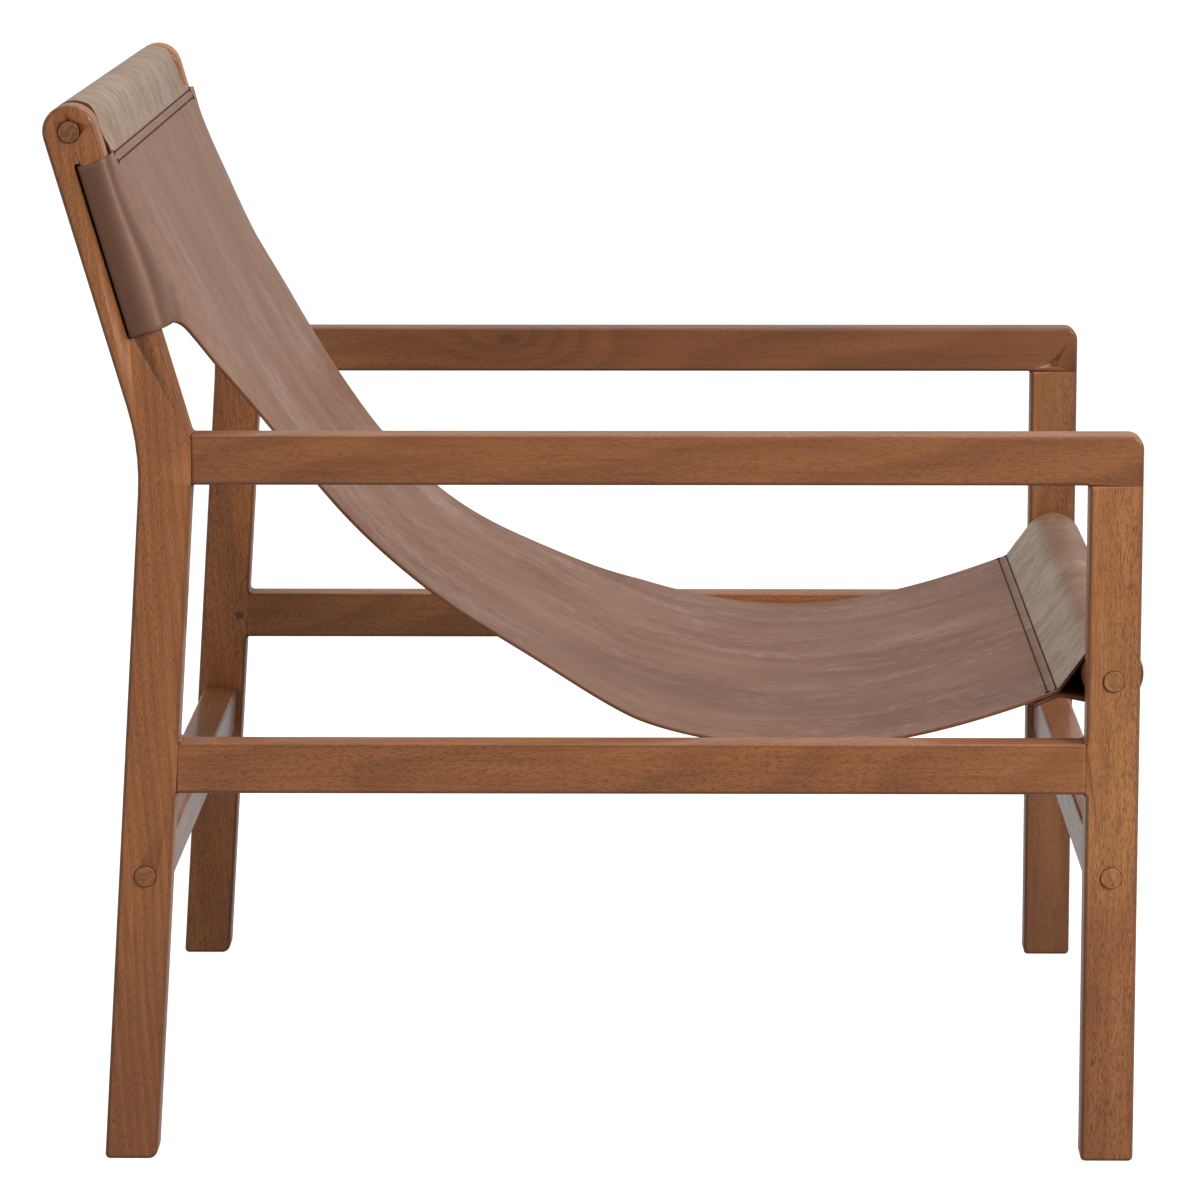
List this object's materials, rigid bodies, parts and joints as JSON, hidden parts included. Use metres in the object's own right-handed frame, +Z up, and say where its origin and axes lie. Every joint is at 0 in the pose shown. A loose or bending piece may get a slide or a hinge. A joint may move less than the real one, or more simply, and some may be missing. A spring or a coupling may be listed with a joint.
{
  "type": "sling lounge chair",
  "caption": "Low lounge chair with flat hardwood side frames, round bars and stretchers, and a leather sling looped over the bars and held through slots in the back posts.",
  "frame": {"origin": "on the floor, under the middle of the chair's box", "axes": "+Z up, +X to the sitter's left, the chair faces -Y"},
  "size_m": [0.6656, 0.7846, 0.7672],
  "materials": {
    "wood": "oiled satin hardwood",
    "leather": "smooth taupe hide",
    "steel": "plain zinc"
  },
  "bodies": {
    "root": {"rear_post_right": "wood", "front_leg_right": "wood", "armrest_right": "wood", "seat_rail_right": "wood", "rear_post_left": "wood", "front_leg_left": "wood", "armrest_left": "wood", "seat_rail_left": "wood", "top_back_bar": "wood", "front_seat_bar": "wood", "rear_stretcher": "wood", "front_stretcher": "wood", "bolt_top_back_bar_right": "steel", "insert_top_back_bar_right": "steel", "plug_top_back_bar_right": "wood", "bolt_front_seat_bar_right": "steel", "insert_front_seat_bar_right": "steel", "plug_front_seat_bar_right": "wood", "bolt_rear_stretcher_right": "steel", "insert_rear_stretcher_right": "steel", "plug_rear_stretcher_right": "wood", "bolt_front_stretcher_right": "steel", "insert_front_stretcher_right": "steel", "plug_front_stretcher_right": "wood", "peg_rail_back_right": "wood", "peg_rail_front_right": "wood", "peg_arm_back_right": "wood", "peg_arm_front_right": "wood", "flap_screw_1_right": "steel", "flap_screw_2_right": "steel", "flap_screw_3_right": "steel", "bolt_top_back_bar_left": "steel", "insert_top_back_bar_left": "steel", "plug_top_back_bar_left": "wood", "bolt_front_seat_bar_left": "steel", "insert_front_seat_bar_left": "steel", "plug_front_seat_bar_left": "wood", "bolt_rear_stretcher_left": "steel", "insert_rear_stretcher_left": "steel", "plug_rear_stretcher_left": "wood", "bolt_front_stretcher_left": "steel", "insert_front_stretcher_left": "steel", "plug_front_stretcher_left": "wood", "peg_rail_back_left": "wood", "peg_rail_front_left": "wood", "peg_arm_back_left": "wood", "peg_arm_front_left": "wood", "flap_screw_1_left": "steel", "flap_screw_2_left": "steel", "flap_screw_3_left": "steel", "leather_sling": "leather"}
  },
  "joints": []
}
